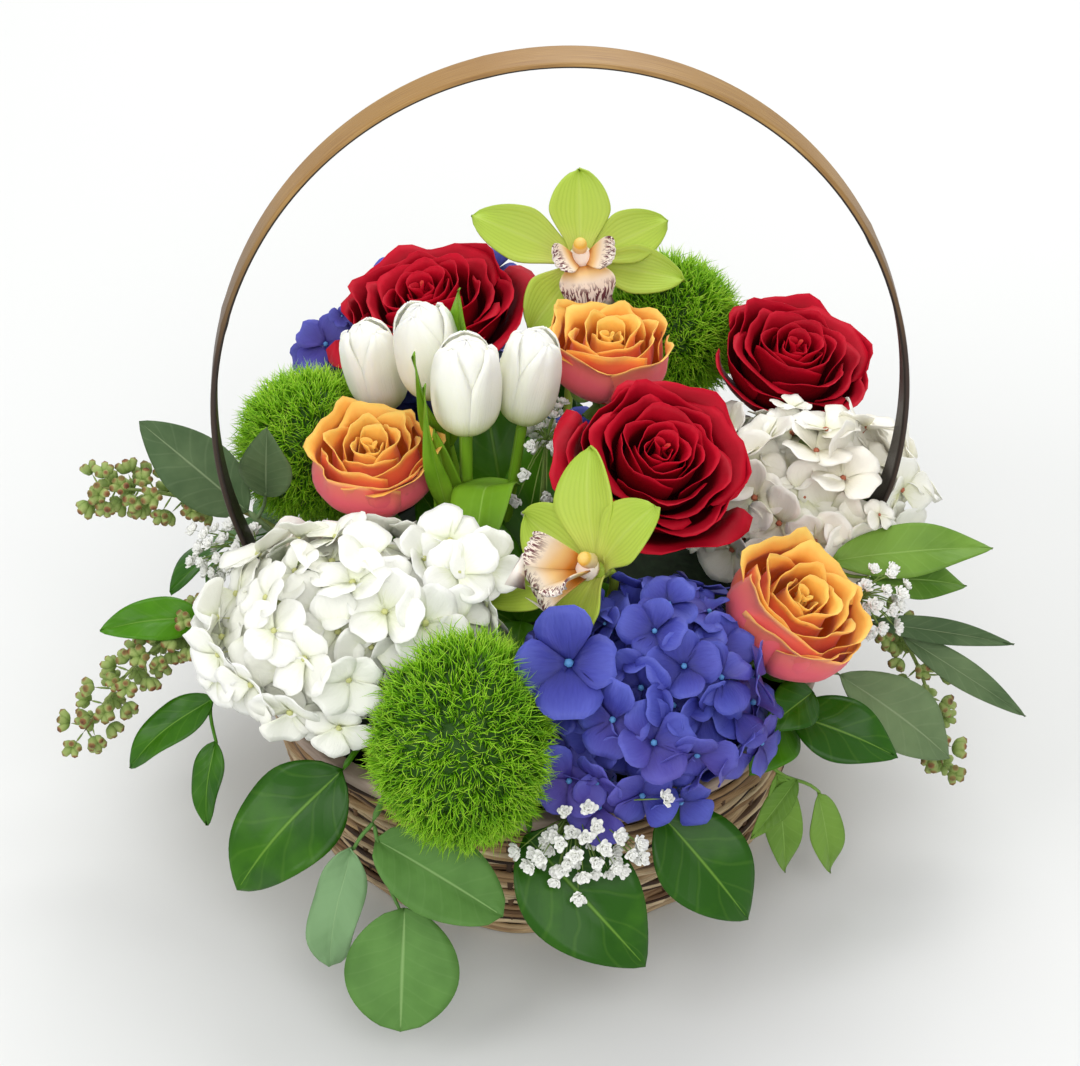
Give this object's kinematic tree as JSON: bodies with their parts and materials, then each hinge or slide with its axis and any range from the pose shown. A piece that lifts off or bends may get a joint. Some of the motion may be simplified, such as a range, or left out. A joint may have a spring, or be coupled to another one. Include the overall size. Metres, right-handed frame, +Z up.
{
  "type": "flower basket arrangement",
  "caption": "Cut flowers and leaves set in foam in a low round woven basket with a tall bamboo hoop handle, dressed for the front and finished all round.",
  "frame": {"origin": "centre of the basket's flat underside, on the surface that it stands on", "axes": "+Z up, -Y towards the front that the flowers are dressed for, +X to the right as seen from the front; the hoop handle stands nearly in the XZ plane"},
  "size_m": [0.4563, 0.3946, 0.4076],
  "materials": {
    "vine": "rough split vine, bark and pale wood",
    "rim_band": "flat gray-pink withe",
    "bamboo": "varnished bamboo strip",
    "peg": "plain turned peg",
    "liner_plastic": "matte dark green",
    "foam": "wet floral foam",
    "red_petals": "velvety petals",
    "orange_petals": "soft petals, coral outside",
    "stems": "smooth green stems",
    "tulip_petals": "waxy petals",
    "tulip_leaves": "waxy leaves",
    "orchid_tepals": "waxy tepals",
    "orchid_lip": "waxy lip with burgundy spots",
    "dianthus": "fine green threads",
    "white_florets": "soft petals",
    "blue_florets": "soft petals",
    "salal_leaves": "glossy leaves",
    "gum_leaves": "satin leaves",
    "gray_leaves": "gray bloom on the leaves",
    "ruscus_leaves": "satin leaves",
    "seed_capsules": "dry capsules",
    "babys_breath": "tiny double blossoms"
  },
  "bodies": {
    "root": {"basket": "vine", "basket_rim": "rim_band", "handle": "bamboo", "handle_pin_left": "peg", "handle_pin_right": "peg", "liner": "liner_plastic", "foam": "foam", "rose_red_center": "red_petals", "rose_red_back": "red_petals", "rose_red_right": "red_petals", "rose_orange_left": "orange_petals", "rose_orange_top": "orange_petals", "rose_orange_right": "orange_petals", "rose_red_center_stem": "stems", "rose_red_back_stem": "stems", "rose_red_right_stem": "stems", "rose_orange_left_stem": "stems", "rose_orange_top_stem": "stems", "rose_orange_right_stem": "stems", "tulip_1": "tulip_petals", "tulip_2": "tulip_petals", "tulip_3": "tulip_petals", "tulip_4": "tulip_petals", "tulip_1_greens": "tulip_leaves", "tulip_2_greens": "tulip_leaves", "tulip_3_greens": "tulip_leaves", "tulip_4_greens": "tulip_leaves", "orchid_back_tepals": "orchid_tepals", "orchid_front_tepals": "orchid_tepals", "orchid_back_lip": "orchid_lip", "orchid_front_lip": "orchid_lip", "dianthus_front": "dianthus", "dianthus_left": "dianthus", "dianthus_back": "dianthus", "hydrangea_white_left": "white_florets", "hydrangea_white_right": "white_florets", "hydrangea_blue_front": "blue_florets", "hydrangea_blue_back": "blue_florets", "salal_front_center": "salal_leaves", "salal_front_right": "salal_leaves", "salal_left": "salal_leaves", "salal_left_low": "salal_leaves", "salal_center": "salal_leaves", "salal_right": "salal_leaves", "salal_back_right": "salal_leaves", "salal_back_center": "salal_leaves", "salal_back_left": "salal_leaves", "eucalyptus_front": "gum_leaves", "eucalyptus_left": "gray_leaves", "eucalyptus_right": "gray_leaves", "willow_right": "gray_leaves", "ruscus_right": "ruscus_leaves", "trailing_right": "ruscus_leaves", "seeded_left_high": "seed_capsules", "seeded_left_low": "seed_capsules", "seeded_right": "seed_capsules", "breath_left": "babys_breath", "breath_front": "babys_breath", "breath_center": "babys_breath", "breath_right": "babys_breath"}
  },
  "joints": []
}
